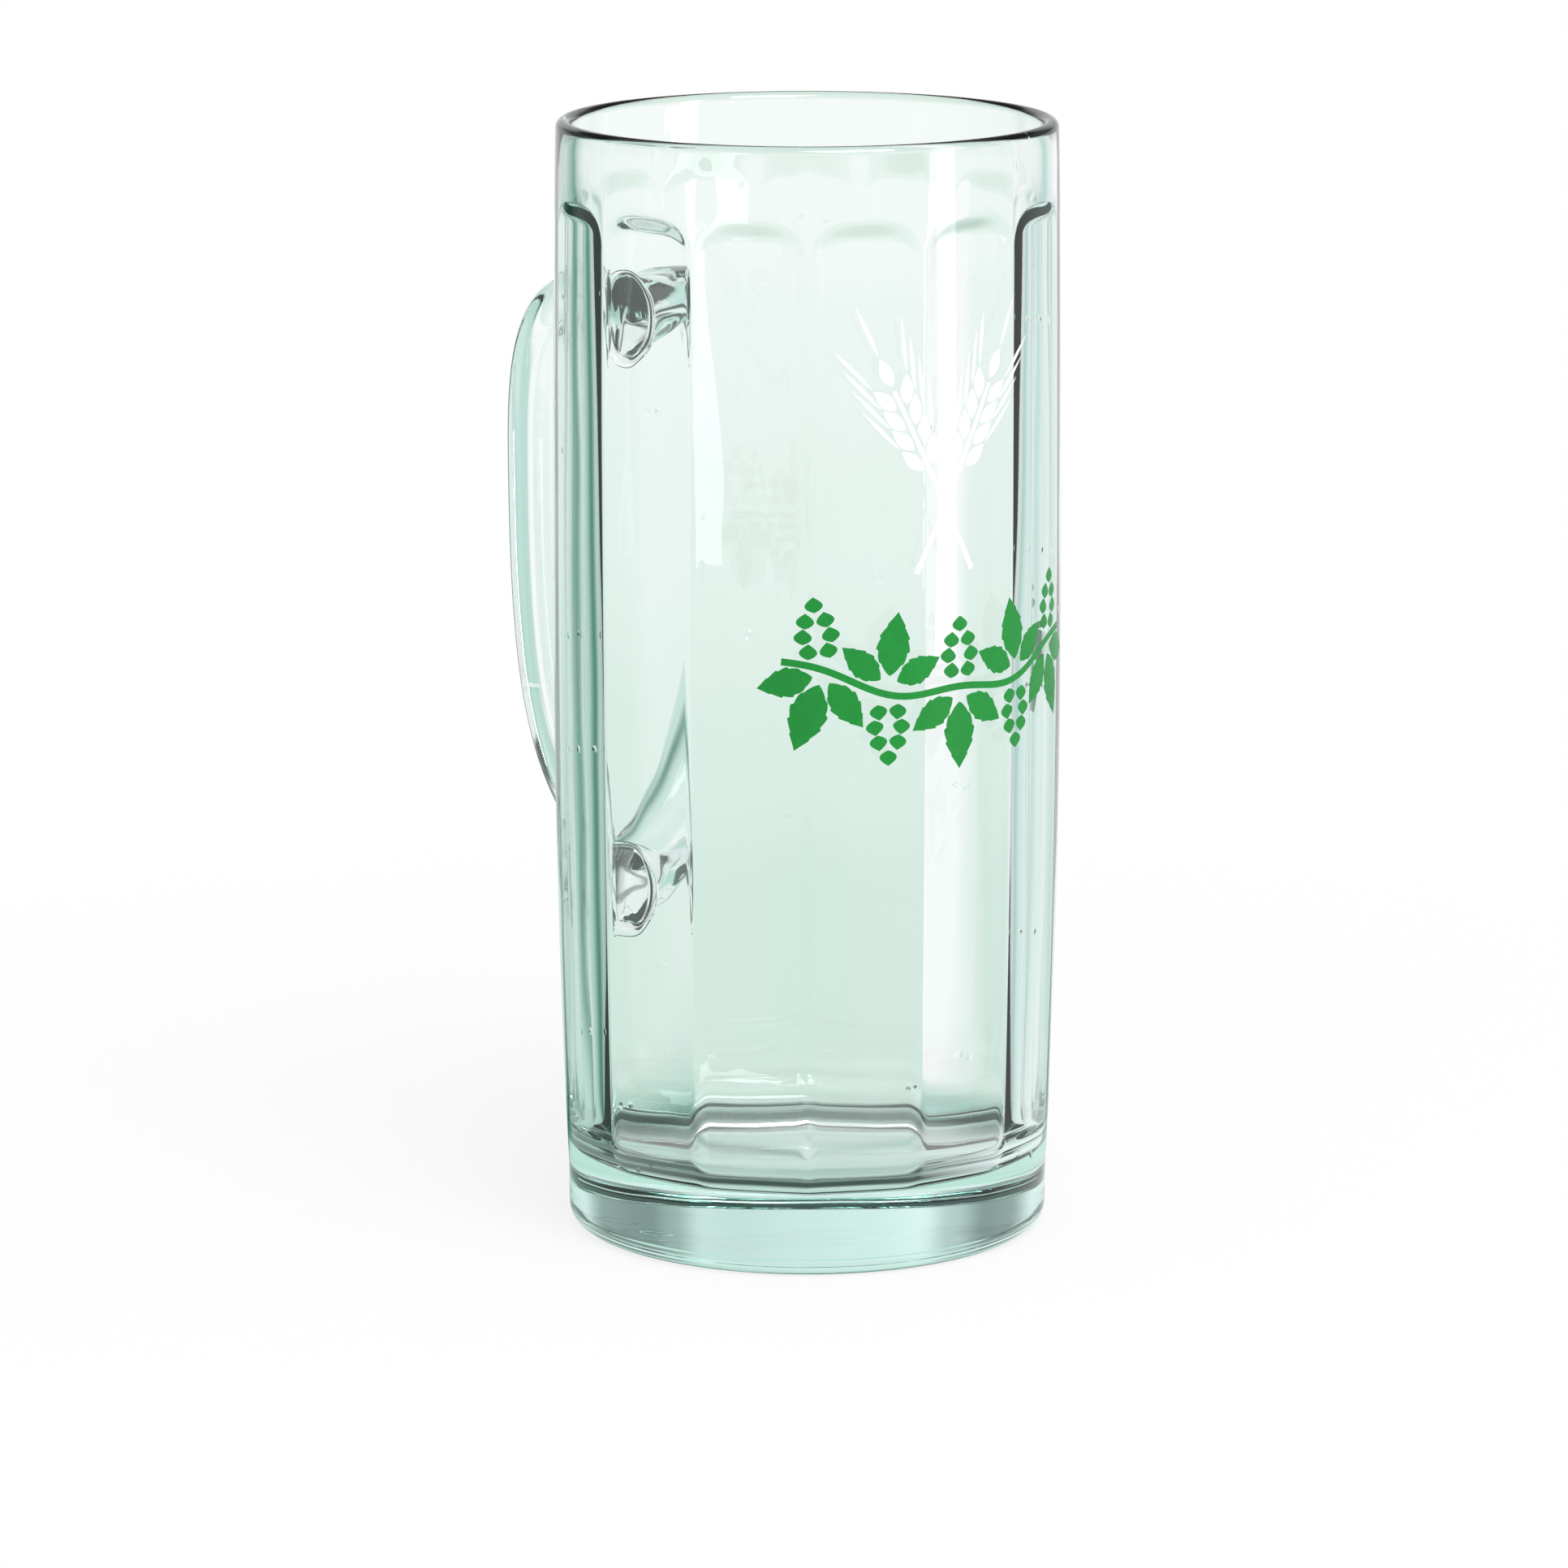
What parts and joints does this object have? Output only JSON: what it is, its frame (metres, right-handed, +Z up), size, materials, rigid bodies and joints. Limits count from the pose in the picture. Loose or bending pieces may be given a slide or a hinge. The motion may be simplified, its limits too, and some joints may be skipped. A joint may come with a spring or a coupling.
{
  "type": "beer mug",
  "caption": "Tall half-litre beer mug of clear pressed glass: a body that is round outside and has thirteen arched flat panels inside, a thick base, and a handle welded on one side.",
  "frame": {"origin": "on the mug's axis, in the plane of the ring that it stands on", "axes": "+Z up through the mouth, +X towards the handle, +Y to the left of the handle as the mug is held out by it"},
  "size_m": [0.11, 0.0798, 0.1765],
  "materials": {
    "body_glass": "clear pressed glass, fire-polished, very slightly green",
    "handle_glass": "clear pressed glass, fire-polished, very slightly green"
  },
  "bodies": {
    "root": {"mug_body": "body_glass", "strap_handle": "handle_glass"}
  },
  "joints": []
}
